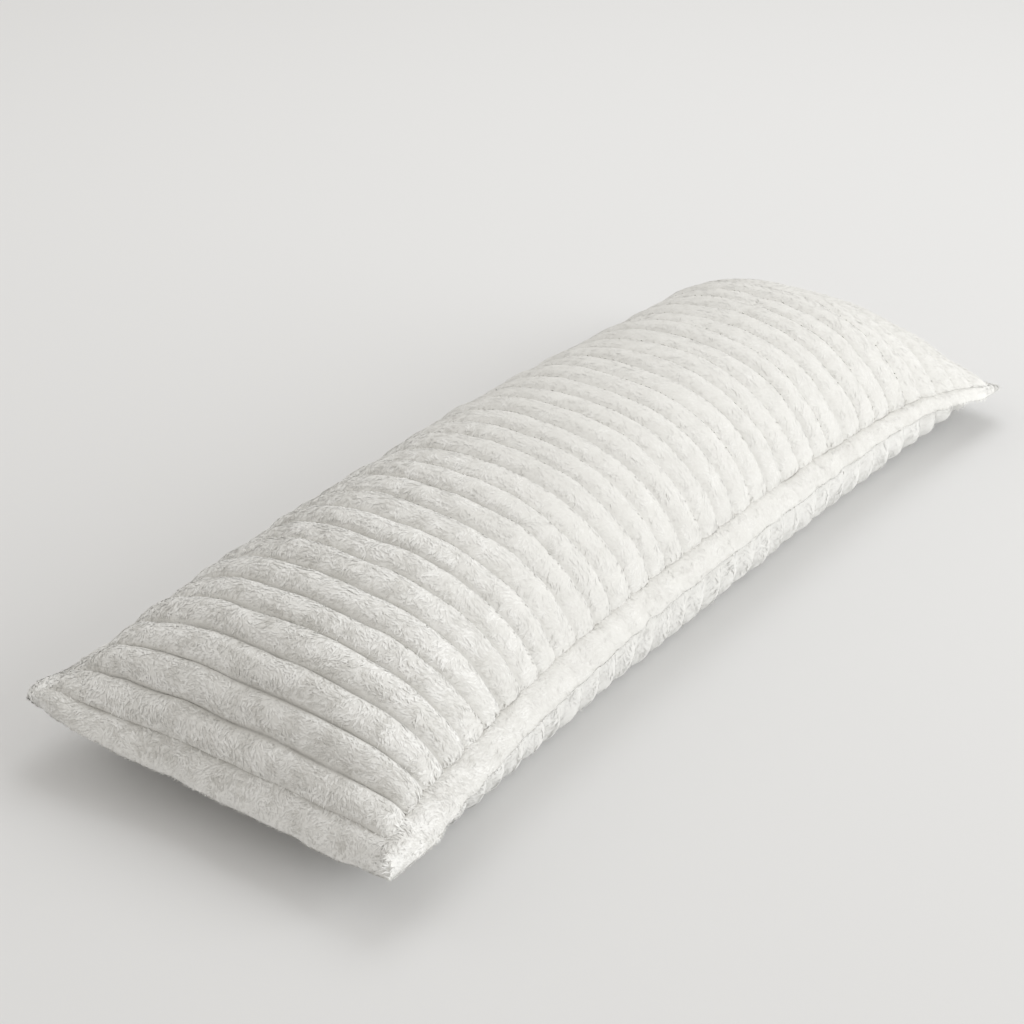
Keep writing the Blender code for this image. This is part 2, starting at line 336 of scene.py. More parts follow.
def table_curve(table, column, share):
    """A smooth curve through one column of a table whose first column is the share."""
    rows = np.array(table, float)
    knots, values = rows[:, 0], rows[:, column]
    last = len(knots) - 1
    row = np.clip(np.searchsorted(knots[1:], share, side="left"), 0, last - 1)
    before, after = np.maximum(row - 1, 0), np.minimum(row + 2, last)
    span = knots[row + 1] - knots[row]
    t = np.clip((share - knots[row]) / span, 0, 1)
    slope_low = (values[row + 1] - values[before]) / (knots[row + 1] - knots[before]) * span
    slope_high = (values[after] - values[row]) / (knots[after] - knots[row]) * span
    start = (2 * t**3 - 3 * t**2 + 1) * values[row] + (t**3 - 2 * t**2 + t) * slope_low
    end = (3 * t**2 - 2 * t**3) * values[row + 1] + (t**3 - t**2) * slope_high
    return start + end


def ease(t):
    """0 to 1 with level ends."""
    t = np.clip(t, 0, 1)
    return t * t * (3 - 2 * t)


def ramp(value, start, span):
    """0 up to the start and 1 from the end of the span on. A negative span runs down."""
    return ease((value - start) / span)


def unit(vectors):
    return vectors / np.maximum(np.linalg.norm(vectors, axis=-1, keepdims=True), 1e-12)


def soft_noise(points, size, seed):
    """Smooth noise from -1 to 1 whose lumps are about this size."""
    cells = np.random.default_rng(seed).uniform(-1, 1, (NOISE_CELLS,) * 3)
    place = points / size
    low = np.floor(place).astype(int)
    t = ease(place - low)
    total = np.zeros(points.shape[:-1])
    for corner in product((0, 1), repeat=3):
        x, y, z = np.moveaxis((low + corner) % NOISE_CELLS, -1, 0)
        weight = np.prod(np.where(corner, t, 1 - t), axis=-1)
        total += weight * cells[x, y, z]
    return total


def rib_profile(place):
    """0 in the channels and 1 on the crest, for places counted in ribs."""
    across_rib = np.minimum(abs(2 * (place % 1.0) - 1), 1)
    return (1 - across_rib**RIB_POWER) ** RIB_ROUNDING


def round_lobe(place):
    """0 in the channels and 1 on the crest, softer than the top's ribs."""
    return np.sin(np.pi * place) ** 2


def rib_fullness(place):
    """Each rib is filled a little more or less than the next."""
    return 1 + RIB_SWAY * np.sin(RIB_SWAY_TURN * np.floor(place) + RIB_SWAY_START)


def share_of(place):
    """Place along the seam as a share, with the channels a little unevenly sewn."""
    share = place / RIB_COUNT - 0.5
    inner = 1 - (2 * share) ** BOW_POWER
    sway = PITCH_SWAY * np.sin(PITCH_SWAY_TURN * place + PITCH_SWAY_START)
    return share + inner * sway / SEAM_LENGTH


def lengthwise(share, across):
    """X of a point. across runs from -1 at the front seam to 1 at the back seam."""
    bow = (BOW_MIDDLE + BOW_AT_ENDS * 2 * share) * (1 - abs(2 * share) ** BOW_POWER)
    pull = END_PULL * ease(1 - (1 - abs(2 * share)) / PULL_ZONE)
    return share * SEAM_LENGTH + (1 - across**2) * (bow - np.copysign(pull, share))


def top_base(share, across):
    """The top panel's channels as a surface, without its ribs."""
    half = table_curve(LENGTHWISE, 2, share)
    to_end = ease(1 - (1 - abs(2 * share)) / CROWN_END_ZONE)
    power = CROWN_POWER + (CROWN_POWER_AT_ENDS - CROWN_POWER) * to_end
    arch = (1 - np.minimum(abs(across), 1.0) ** power) ** CROWN_ROUNDING
    height = table_curve(LENGTHWISE, 1, share) + table_curve(LENGTHWISE, 3, share) * arch
    return np.stack([lengthwise(share, across), across * half, height], -1)


def across_of(line):
    """Grid lines lie closer together towards the side seams. line runs from -1 to 1."""
    return np.sin(np.pi / 2 * line)


def bottom_base(share, line):
    """The bottom panel's channels as a surface, without its ribs."""
    half = table_curve(LENGTHWISE, 2, share)
    seam = table_curve(LENGTHWISE, 1, share)
    power = np.where(share < 0, NEAR_LIFT_POWER, FAR_LIFT_POWER)
    full = np.sqrt(np.maximum(1 - abs(2 * share) ** power, 0.0))
    across = table_curve(BELLY, 1, abs(line))
    height = np.maximum(table_curve(BELLY, 2, abs(line)), 0)
    edge = abs(across_of(line))
    sideways = np.copysign(edge + (across - edge) * full, line)
    lift = (BASE_RIB_HEIGHT - SETTLE) * (1 - height)
    raised = lift + (seam - lift) * (height + (1 - height) * (1 - full))
    return np.stack([lengthwise(share, sideways), sideways * half, raised], -1)


def upright(surface, share, across):
    """Unit normals of a surface, on its upper side, by small steps along it."""
    u = np.clip(share, NORMAL_STEP - 0.5, 0.5 - NORMAL_STEP)
    v = np.clip(across, NORMAL_STEP - 1, 1 - NORMAL_STEP)
    along = surface(u + NORMAL_STEP, v) - surface(u - NORMAL_STEP, v)
    over = surface(u, v + NORMAL_STEP) - surface(u, v - NORMAL_STEP)
    return unit(np.cross(along, over))


def seam_scallop(place, across):
    """Sideways push of the seam beside a rib."""
    return np.copysign(SCALLOP * rib_profile(place) * abs(across) ** RIB_END_POWER, across)


def near_seam(place, line):
    """0 over the panel and 1 on the seam, at the sides and the ends alike."""
    end = 1 - np.minimum(place, RIB_COUNT - place) / 0.5
    side = abs(line) ** RIB_END_POWER
    return np.maximum(np.clip(end, 0, 1), side)


def inset(place, line, pile):
    """How deep the skin lies: the pile's depth, and less at the seam."""
    return pile + (SEAM_INSET - pile) * near_seam(place, line)


def top_panel(place, line, pile):
    """The top panel's skin, a pile's depth inside the solid's surface."""
    share, across = share_of(place), across_of(line)
    to_seam = np.sqrt(1 - abs(across) ** RIB_END_POWER)
    rise = RIB_HEIGHT * rib_profile(place) * rib_fullness(place) * to_seam
    base = top_base(share, across)
    narrow = (1 - rib_profile(place)) ** 2 * to_seam * (1 - lively(base))
    out = rise - inset(place, line, pile) + CHANNEL_FILL * narrow
    points = base + upright(top_base, share, across) * out[..., None]
    points[..., 1] += seam_scallop(place, across)
    return points


def bottom_panel(place, line, pile):
    """The bottom panel's skin, its ribs pressed flat where they rest."""
    share = share_of(place)
    rib = table_curve(BELLY, 3, abs(line))
    flat = np.minimum(BASE_RIB_FLATNESS * rib_profile(place), 1.0)
    standing = ramp(abs(line), *STANDING)
    rise = BASE_RIB_HEIGHT * rib * (flat + (round_lobe(place) - flat) * standing)
    out = rise - inset(place, line, pile)
    points = bottom_base(share, line) - upright(bottom_base, share, line) * out[..., None]
    points[..., 1] += seam_scallop(place, across_of(line))
    points[..., 2] = np.maximum(points[..., 2], pile)
    return points


def seam_line(place, line):
    """Where the two panels and the flange are sewn together."""
    share, across = share_of(place), across_of(line)
    points = top_base(share, across)
    points[..., 1] += seam_scallop(place, across)
    return points


def stations():
    """Places of the skin's grid lines along the pillow, counted in ribs."""
    steps = [rib + step for rib in range(RIB_COUNT) for step in RIB_STEPS]
    return np.array(steps + [RIB_COUNT], float)


def panel_lines():
    return np.linspace(-1, 1, LINES_ACROSS + 1)


def panel_grid():
    """Places along the pillow and lines across it for each point of a panel's grid."""
    return np.meshgrid(stations(), panel_lines(), indexing="ij")


def crease(place, line):
    """1 in the channels and along the seam, 0 on the ribs: the pile there is short, and painted
    darker as shade.
    """
    channel = ramp(abs(2 * (place % 1.0) - 1), *CHANNEL)
    side = ease(1 - (1 - abs(line)) / (SEAM_CREASE + PUCKER * channel))
    end = ease(1 - np.minimum(place, RIB_COUNT - place) / END_CREASE)
    return np.maximum(np.maximum(channel, side), end)


def wander(points):
    """Small strays of the whole cover, the same for all that is sewn together."""
    sizes = ((WANDER_SIZE, 1, 0), (FINE_SIZE * WANDER_SIZE, FINE_HEIGHT, 4))
    ways = [
        sum(height * soft_noise(points, size, seed + step) for size, height, step in sizes)
        for seed in (51, 52, 53)
    ]
    near = 1 + NEAR_WANDER * ramp(points[..., :1], *NEAR_END)
    return points + np.stack(ways, -1) * WANDER * near


def model_shift():
    """From the formulas' coordinates to the solid's, whose box stands on the origin."""
    place, line = panel_grid()
    points = top_panel(place, line, 0.0).reshape(-1, 3)
    low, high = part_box("pillow")
    middle = (points.max(axis=0) + points.min(axis=0)) / 2
    return np.array([(low.x + high.x) / 2 - middle[0], (low.y + high.y) / 2 - middle[1], 0.0])


# ---- Meshes ----


def mesh_from(name, points, faces):
    """A mesh object of equal-sided faces, smooth shaded, with its place in its mesh."""
    mesh = bpy.data.meshes.new(name)
    points = np.ascontiguousarray(points, np.float32)
    faces = np.ascontiguousarray(faces, np.int32)
    corners = faces.shape[1]
    mesh.vertices.add(len(points))
    mesh.vertices.foreach_set("co", points.ravel())
    mesh.loops.add(faces.size)
    mesh.loops.foreach_set("vertex_index", faces.ravel())
    mesh.polygons.add(len(faces))
    mesh.polygons.foreach_set("loop_start", np.arange(0, faces.size, corners, dtype=np.int32))
    mesh.update(calc_edges=True)
    mesh.shade_smooth()
    made = bpy.data.objects.new(name, mesh)
    bpy.context.scene.collection.objects.link(made)
    return made


def set_normals(piece, normals):
    """Shades the piece by these directions, one for each corner of each face."""
    piece.data.normals_split_custom_set(unit(normals).reshape(-1, 3).tolist())


def add_attribute(piece, name, values):
    attribute = piece.data.attributes.new(name, "FLOAT", "POINT")
    attribute.data.foreach_set("value", np.ascontiguousarray(values, np.float32))


def grid_faces(index):
    """Quads of a grid of vertex numbers, wound so that they face along rows x columns."""
    return np.stack(
        [index[:-1, :-1], index[1:, :-1], index[1:, 1:], index[:-1, 1:]], -1
    ).reshape(-1, 4)


def between(values, cell, t):
    """Values of a grid read inside its cells, at these shares of their rows and columns."""
    i, j = cell
    u, v = (share[..., None] for share in t) if values.ndim == 3 else t
    low = values[i, j] * (1 - u) + values[i + 1, j] * u
    high = values[i, j + 1] * (1 - u) + values[i + 1, j + 1] * u
    return low * (1 - v) + high * v


class Skin:
    """Points, normals and the pile's frame over one grid of the cover, for growing locks."""

    def __init__(self, points, place, edge, facing=None, closed=False):
        if closed:
            points, place, edge = (np.concatenate([a, a[:1]]) for a in (points, place, edge))
        self.points, self.place, self.edge = points, place, edge
        along = np.gradient(points, axis=0)
        over = np.gradient(points, axis=1)
        if closed:
            along[0] = along[-1] = (points[1] - points[-2]) / 2
        normal = unit(np.cross(along, over))
        outwards = points - points.mean(axis=1, keepdims=True) if facing is None else facing
        flip = np.sign(np.sum(normal * outwards))
        self.normal = normal * flip
        self.facing = self.normal if facing is None else facing
        self.along = unit(along)
        self.over = unit(np.cross(normal, along))
        self.along_bend, self.over_bend = (
            np.sum(np.gradient(self.normal, axis=axis) * way, axis=-1)
            / np.maximum(np.linalg.norm(step, axis=-1), 1e-6)
            for axis, way, step in ((0, self.along, along), (1, self.over, over))
        )
        corner = points[:-1, :-1]
        sides = np.cross(points[1:, :-1] - corner, points[:-1, 1:] - corner)
        self.areas = np.linalg.norm(sides, axis=-1)

    def weights(self, density):
        """How many locks each cell of the grid should have, to some scale."""
        centre, normal, place, edge = (
            (grid[:-1, :-1] + grid[1:, 1:]) / 2
            for grid in (self.points, self.normal, self.place, self.edge)
        )
        return self.areas * density(centre, normal, place, edge)

    def roots(self, count, density, rng):
        """Places of this many locks, spread by area and density."""
        total = np.cumsum(self.weights(density))
        draws = (np.arange(count) + rng.uniform(0, 1, count)) / count * total[-1]
        chosen = np.minimum(np.searchsorted(total, draws), len(total) - 1)
        cell = np.unravel_index(chosen, self.areas.shape)
        t = rng.uniform(0, 1, count), rng.uniform(0, 1, count)
        names = ("points", "normal", "facing", "along", "over", "place", "edge")
        names += ("along_bend", "over_bend")
        return {name: between(getattr(self, name), cell, t) for name in names}


def body_facings():
    """Which way the top and bottom panels face as a whole, without their ribs."""
    place, line = panel_grid()
    share = share_of(place)
    return upright(top_base, share, across_of(line)), -upright(bottom_base, share, line)


def rim_of(grid):
    """True on the outermost rows and columns, where the two panels are sewn together."""
    rim = np.ones(grid.shape, bool)
    rim[1:-1, 1:-1] = False
    return rim


def sewn_panels(place, line, pile):
    """Both panels' points, the same along the seam."""
    panels = np.stack([top_panel(place, line, pile), bottom_panel(place, line, pile)])
    rim = rim_of(place)
    panels[:, rim] = panels[:, rim].mean(axis=0)
    return panels


def sewn_faces(place):
    """The vertices that both panels use, and the faces over them."""
    rows, columns = place.shape
    index = np.arange(rows * columns).reshape(rows, columns)
    under = np.where(rim_of(place), index, index + rows * columns)
    faces = np.concatenate([grid_faces(index), grid_faces(under)[:, ::-1]])
    used, faces = np.unique(faces, return_inverse=True)
    return used, faces.reshape(-1, 4)


def read_grid(values, rows, columns):
    """Values of a grid read between its points, at fractions of rows and columns."""
    i, j = (
        np.clip(np.floor(at).astype(int), 0, size - 2)
        for at, size in zip((rows, columns), values.shape)
    )
    return between(values, (i, j), (ease(rows - i), columns - j))


@lru_cache(maxsize=None)
def filling_moves(pile):
    """How the filling moves both panels, on the coarser cover's grid."""
    places = np.arange(RIB_COUNT * FILL_STEPS + 1) / FILL_STEPS
    place, line = np.meshgrid(places, np.linspace(-1, 1, FILL_LINES + 1), indexing="ij")
    panels = sewn_panels(place, line, pile)
    used, faces = sewn_faces(place)
    cover = mesh_from("filling_cover", panels.reshape(-1, 3)[used], faces)
    held = (place % 1.0 == 0) | rim_of(place)
    resting = panels[..., 2] < pile + 2 * RESTING
    fixed = (held[None] | resting).reshape(-1)[used]
    group = cover.vertex_groups.new(name="held")
    group.add(np.flatnonzero(fixed).tolist(), 1.0, "REPLACE")
    cloth = cover.modifiers.new("filling", "CLOTH")
    for name, value in FILL_SETTINGS.items():
        setattr(cloth.settings, name, value)
    cloth.settings.effector_weights.gravity = 0.0
    cloth.point_cache.frame_end = FILL_FRAMES
    scene = bpy.context.scene
    for step in range(1, FILL_FRAMES + 1):
        scene.frame_set(step)
    shown = cover.evaluated_get(bpy.context.evaluated_depsgraph_get())
    filled = np.zeros(len(used) * 3, np.float32)
    shown.data.vertices.foreach_get("co", filled)
    scene.frame_set(1)
    mesh = cover.data
    bpy.data.objects.remove(cover)
    bpy.data.meshes.remove(mesh)
    moves = np.zeros((2 * place.size, 3))
    moves[used] = filled.reshape(-1, 3) - panels.reshape(-1, 3)[used]
    far = np.linalg.norm(moves, axis=1, keepdims=True)
    moves *= np.minimum(1, FILL_REACH / np.maximum(far, 1e-9))
    return moves.reshape(2, *place.shape, 3)


def body_grids(pile):
    """Top and bottom panels' points on one shared grid, filled and with their lumps."""
    place, line = panel_grid()
    top, bottom = sewn_panels(place, line, pile)
    rows, columns = place * FILL_STEPS, (line + 1) / 2 * FILL_LINES
    moves = filling_moves(pile)
    top = top + read_grid(moves[0], rows, columns)
    bottom = bottom + read_grid(moves[1], rows, columns)
    held = 1 - near_seam(place, line)
    for grid, facing, seed in zip((top, bottom), body_facings(), (1, 5)):
        normal = Skin(grid, place, line, facing).normal
        lump = sum(
            height * soft_noise(grid, size, seed + step)
            for step, (size, height) in enumerate(zip(LUMP_SIZES, LUMP_HEIGHTS))
        )
        resting = grid[..., 2] < pile + RESTING
        grid += normal * (lump * held * ~resting)[..., None]
    shift = model_shift()
    return place, line, wander(top) + shift, wander(bottom) + shift


def body_skins(pile):
    """The places and lines of the two panels' grids, and their skins."""
    place, line, *panels = body_grids(pile)
    return place, line, [Skin(grid, place, line, way) for grid, way in zip(panels, body_facings())]


def seam_loop():
    """Places and lines of the seam's points, once round from the near front corner."""
    places, lines = stations(), panel_lines()
    loop = [(p, -1.0, 0) for p in places[:-1]]
    loop += [(RIB_COUNT, line, 1) for line in lines[:-1]]
    loop += [(p, 1.0, 2) for p in places[:0:-1]]
    loop += [(0.0, line, 3) for line in lines[:0:-1]]
    return np.array(loop).T


def flange_crease_shade(points, place, edge):
    """Painted shade along the flange's seam: 1 at the seam, reaching further out where a channel
    ends at it, and none in the tufts.
    """
    lobe = np.where(place % RIB_COUNT == 0, MEAN_PROFILE, round_lobe(place))
    width = FLANGE_CREASE * (2 - FLANGE_PUCKER * lobe)
    return ease(1 - edge / width) * (1 - corner_tuft(points))


def flange_frame():
    """Seam point, outward way and section sizes at each point round the seam."""
    place, line, side = seam_loop()
    side = side.astype(int)
    seam = seam_line(place, line)
    corners = seam_line(
        np.array([0.0, RIB_COUNT, RIB_COUNT, 0.0]), np.array([-1.0, -1.0, 1.0, 1.0])
    )
    facing = np.array([(0, -1, 0), (1, 0, 0), (0, 1, 0), (-1, 0, 0)], float)
    start, end = corners[side], corners[(side + 1) % 4]
    run = np.linalg.norm(end - start, axis=1)
    passed = np.minimum(np.linalg.norm(seam - start, axis=1), run)
    share = passed / run
    sizes = np.array(FLANGE)
    corner = np.where((share > 0.5)[:, None], sizes[(2 * side + 2) % 8], sizes[2 * side])
    weight = ease(2 * np.minimum(share, 1 - share))[:, None]
    droop, width, puff = (corner + (sizes[2 * side + 1] - corner) * weight).T
    nearer = np.where(share < 0.5, side - 1, (side + 1) % 4)
    turn = ease(1 - np.minimum(passed, run - passed) / CORNER_REACH) / 2
    back, far = seam[:, 1] > 0, seam[:, 0] > 0
    puff = puff + 2 * turn * ~far * np.where(back, BACK_TUFT, FRONT_TUFT)
    width = width - TUFT_CUT * 2 * turn * (back != far)
    droop = droop + TUFT_DROOP * 2 * turn * (back & ~far)
    out = unit(facing[side] * (1 - turn)[:, None] + facing[nearer] * turn[:, None])
    pitch, middle, swing = END_LUMPS
    end_lobe = middle + swing * np.sin(passed / pitch * 2 * np.pi)
    lobe = np.where(side % 2 == 0, round_lobe(place), end_lobe)
    lobe = 1 + (lobe - 1) * (1 - 2 * turn)
    return seam, out, np.radians(droop), width, puff, lobe, place, side


def flange_grid(pile):
    """The flange's skin, as rows round the seam and columns round its section."""
    seam, out, droop, width, puff, lobe, place, side = flange_frame()
    way = np.linspace(0, 1, FLANGE_STEPS)
    reach = table_curve(FLANGE_SECTION, 1, way)
    rise = table_curve(FLANGE_SECTION, 2, way)
    down, up = np.sin(droop)[:, None], np.cos(droop)[:, None]
    forward = out * up - np.array([0, 0, 1.0]) * down
    upward = out * down + np.array([0, 0, 1.0]) * up
    thick = (puff - pile * FLANGE_PILE) * (1 + FLANGE_CHANNEL * (lobe - 1))
    length = width - pile + FLANGE_SCALLOP * (lobe - 1)
    root = seam - out * SEAM_INSET
    points = (
        root[:, None]
        + forward[:, None] * (reach[None] * (length + SEAM_INSET)[:, None])[..., None]
        + upward[:, None] * (rise[None] * thick[:, None])[..., None]
    )
    slack = np.where(side % 2 == 0, EVENED * SCALLOP * (MEAN_PROFILE - rib_profile(place)), 0.0)
    points += out[:, None] * (slack[:, None] * ease(reach / EVENED_FROM))[..., None]
    lump = soft_noise(points, FLANGE_LUMP_SIZE, 21) * FLANGE_LUMP_HEIGHT
    middle = points.mean(axis=1, keepdims=True)
    points = points + unit(points - middle) * lump[..., None]
    edge = np.broadcast_to(reach, points.shape[:2]).copy()
    places = np.broadcast_to(place[:, None], points.shape[:2]).copy()
    return wander(points) + model_shift(), places, edge


# ---- Growing the pile ----


def lively(points):
    """1 where the pile is curly and mottled, and 0 where it lies combed flat."""
    return 1 - ramp(points[..., 0] - LIVELY_SLANT * points[..., 1], *LIVELY_END)


def calmed(points, calm, full=1.0):
    """A value that is full where the pile is lively and has its calm value further on."""
    return calm + (full - calm) * lively(points)


def soft_facing(normal, facing, points):
    """Which way the pile is shaded: between the cloth's own facing and its panel's."""
    share = calmed(points, CALM_PANEL, FULL_PANEL)[..., None]
    return unit(normal * (1 - share) + facing * share)


def faded(pressed, points):
    """The creases' painted shade and sparser pile are fainter where the pile lies combed flat, and
    where it closes over them.
    """
    middle, swing, least = CLOSED
    closed = middle + swing * soft_noise(points, CLOSED_SIZE, 61)
    return pressed * np.clip(closed, least, 1) * calmed(points, CALM_CREASE)


def tone_with_painted_light(points):
    """Of the pile's tones, with painted light: lighter where it is curly, at the near end and back
    side away from the key lamp, than where it lies flat on the lit side, and lighter low down as
    painted bounce light.
    """
    # Painted bounce light from the floor, low down.
    low = ramp(points[..., 2], *PAINTED_BOUNCE_HEIGHTS)
    return calmed(points, CALM_PAINTED_LIGHT_TONE, FULL_PAINTED_LIGHT_TONE) + PAINTED_BOUNCE_LIGHT * low


def grow_locks(name, roots, length, width, height, rng):
    """One joined mesh of leaf-shaped locks, with tone, tip and curl attributes."""
    foot, normal, facing, lay = (roots[key] for key in ("points", "normal", "facing", "lay"))
    count = len(foot)
    shape = calmed(foot, CALM_SHAPE)[:, None]
    side = unit(np.cross(normal, lay))
    tuft = corner_tuft(foot)[:, None]
    curl = rng.normal(0, LOCK_CURL, count)[:, None] * (1 + TUFT_CURL * tuft)
    height = height * calmed(foot, CALM_HEIGHT)
    bend = sum(
        roots[way + "_bend"] * np.sum(lay * roots[way], axis=1) ** 2 for way in ("along", "over")
    )
    fall = np.clip(bend, *LOCK_BEND)[:, None] / 2
    long, wide, high, wisp = (a[:, None] for a in (length, width, height, roots["wisp"]))
    middle = foot + lay * long * LOCK_MIDDLE
    swell = high * LOCK_SWELL + wisp * LOCK_WISP
    middle += normal * (swell - fall * (long * LOCK_MIDDLE) ** 2)
    ends = calmed(foot, CALM_RISE, rng.uniform(*LOCK_RISES, count))[:, None]
    tip_height = high * ends + wisp - fall * long**2
    tip = foot + (lay + side * curl) * long + normal * tip_height
    rooted = foot - normal * high * LOCK_ROOTING
    half, ridge = side * wide / 2, normal * wide * LOCK_RIDGE * shape
    points = np.stack([rooted, middle - half, middle + half, middle + ridge, tip], axis=1)
    points[..., 2] = np.maximum(points[..., 2], FLOOR_GAP)
    faces = np.array(LOCK_FACES)[None] + 5 * np.arange(count)[:, None, None]
    made = mesh_from(name, points.reshape(-1, 3), faces.reshape(-1, 3))
    shown = soft_facing(normal, facing, foot)
    roll = LOCK_ROLL * shape
    turn = {0: -lay * roll, 1: -side * roll, 2: side * roll, 3: 0 * side, 4: lay * roll}
    under = lay * UNDER_LAY - shown * UNDER_AWAY + tuft * (0, 0, UNDER_TUFT)
    corners = [
        [(under if face in LOCK_UNDERSIDE else shown) + turn[corner] for corner in face]
        for face in LOCK_FACES
    ]
    shading = unit(np.stack([np.stack(face, axis=1) for face in corners], axis=1))
    first, second, third = np.moveaxis(points[:, np.array(LOCK_FACES)], 2, 0)
    flat = unit(np.cross(second - first, third - first))[:, :, None]
    short = LOCK_FACING - np.sum(shading * flat, axis=-1, keepdims=True)
    set_normals(made, shading + flat * np.maximum(short, 0))
    # Painted shade in the creases darkens the locks' tips and tones.
    pressed = faded(roots["pressed"], foot)
    contrast = calmed(foot, CALM_CONTRAST)
    # Painted shade at each lock's root and painted light at its tip.
    tips = LOCK_TIP + np.outer(contrast, LOCK_TIPS)
    add_attribute(made, "tip", (tips * (1 - CREASE_PAINTED_SHADE_TIP * pressed)[:, None]).ravel())
    swing = LOCK_TONES * rng.uniform(-1, 1, count) + soft_noise(foot, PATCH_SIZE, 31)
    # The tone carries painted light: lighter on the lively side away from the key lamp, and low
    # down.
    tone = (tone_with_painted_light(foot) + contrast * swing) * (1 - CREASE_PAINTED_SHADE * pressed)
    add_attribute(made, "tone", np.repeat(np.clip(tone, 0, 1), 5))
    add_attribute(made, "curl", np.repeat(lively(foot), 5))
    return made


def lay_of(roots, place, away, rng):
    """Which way the pile lies: a swirling nap that leans out of the channels and the seam."""
    points, normal = roots["points"], roots["normal"]
    swirls = (turn * soft_noise(points, size, 41 + i) for i, (turn, size) in enumerate(SWIRLS))
    angle = NAP_TURN + sum(swirls) + rng.normal(0, NAP_SPREAD, len(points))
    from_middle = 2 * (place % 1.0) - 1
    edge = ramp(abs(from_middle), *NAP_EDGE)
    along = np.cos(angle) * NAP_ALONG * (1 - NAP_EDGE_LESS * edge)
    along = along - np.sign(from_middle) * edge * NAP_EDGE_LEAN
    lay = roots["along"] * along[:, None] + roots["over"] * np.sin(angle)[:, None] + away
    lay -= normal * np.sum(lay * normal, axis=1, keepdims=True)
    return unit(lay)


# ---- Materials ----


def node(tree, kind, **values):
    made = tree.nodes.new(kind)
    for key, value in values.items():
        setattr(made, key, value)
    return made


def feed(tree, inputs, values):
    """Gives each input its value, or a link from another node's output."""
    for name, value in values.items():
        if isinstance(value, bpy.types.NodeSocket):
            tree.links.new(value, inputs[name])
        else:
            inputs[name].default_value = value


def math_node(tree, operation, first, second):
    made = node(tree, "ShaderNodeMath", operation=operation)
    feed(tree, made.inputs, {0: first, 1: second})
    return made.outputs[0]


def noise_node(tree, vector, scale, detail, distortion):
    made = node(tree, "ShaderNodeTexNoise")
    values = {"Vector": vector, "Scale": scale, "Detail": detail, "Distortion": distortion}
    feed(tree, made.inputs, values)
    return made.outputs["Fac"]


def mix_colour(tree, factor, first, second):
    made = node(tree, "ShaderNodeMix", data_type="RGBA")
    one, other = (index for index, socket in enumerate(made.inputs) if socket.type == "RGBA")
    feed(tree, made.inputs, {"Factor": factor, one: first, other: second})
    return next(socket for socket in made.outputs if socket.type == "RGBA")


def group_node(tree, name, build):
    """A node that holds the group of this name, which is built at its first use."""
    group = bpy.data.node_groups.get(name) or build(name)
    return node(tree, "ShaderNodeGroup", node_tree=group)


def node_group(name, inputs, outputs):
    """A new node group with these sockets, its values given and its values to fill."""
    group = bpy.data.node_groups.new(name, "ShaderNodeTree")
    for way, sockets in (("INPUT", inputs), ("OUTPUT", outputs)):
        for socket, kind in sockets.items():
            group.interface.new_socket(socket, in_out=way, socket_type="NodeSocket" + kind)
    return group, node(group, "NodeGroupInput").outputs, node(group, "NodeGroupOutput").inputs


def plush_tone(name):
    """Mottled plush colour: soft patches, finer flecks, and the painted light and shade of its tone
    and depth inputs, with painted shade darkest at the roots.
    """
    inputs = dict(Vector="Vector", Light="Color", Dark="Color", Fleck="Float", Depth="Float")
    group, given, result = node_group(name, inputs, dict(Colour="Color", Roughness="Float"))
    patches = noise_node(group, given["Vector"], 42.0, 2.0, 0.8)
    flecks = noise_node(group, given["Vector"], 260.0, 2.0, 0.4)
    mottle = math_node(group, "MULTIPLY", math_node(group, "ADD", patches, flecks), 0.20)
    # The tone input carries painted light and shade.
    lit = math_node(group, "MULTIPLY", given["Fleck"], 0.60)
    # Painted shade from the depth input: darkest at the roots and in the creases.
    depth = math_node(group, "MULTIPLY", given["Depth"], 0.30)
    total = math_node(group, "ADD", math_node(group, "ADD", mottle, lit), depth)
    span = node(group, "ShaderNodeMapRange", interpolation_type="SMOOTHSTEP")
    feed(group, span.inputs, {"Value": total, "From Min": 0.20, "From Max": 1.15})
    colour = mix_colour(group, span.outputs["Result"], given["Dark"], given["Light"])
    rough = math_node(group, "ADD", math_node(group, "MULTIPLY", flecks, 0.12), 0.82)
    feed(group, result, {"Colour": colour, "Roughness": rough})
    return group


def combed_nap(name):
    """Height of short combed fibres, for the cloth under and between the locks."""
    inputs = dict(Vector="Vector", Scale="Float")
    group, given, result = node_group(name, inputs, dict(Height="Float"))
    fibres = noise_node(group, given["Vector"], given["Scale"], 4.0, 2.2)
    tufts_scale = math_node(group, "MULTIPLY", given["Scale"], 0.3)
    tufts = noise_node(group, given["Vector"], tufts_scale, 1.0, 1.2)
    height = math_node(group, "ADD", math_node(group, "MULTIPLY", tufts, 1.4), fibres)
    feed(group, result, {"Height": height})
    return group


def new_material(name):
    """A material, its node tree and the inputs of its shader."""
    material = bpy.data.materials.new(name)
    material.use_nodes = True
    tree = material.node_tree
    return material, tree, tree.nodes["Principled BSDF"].inputs


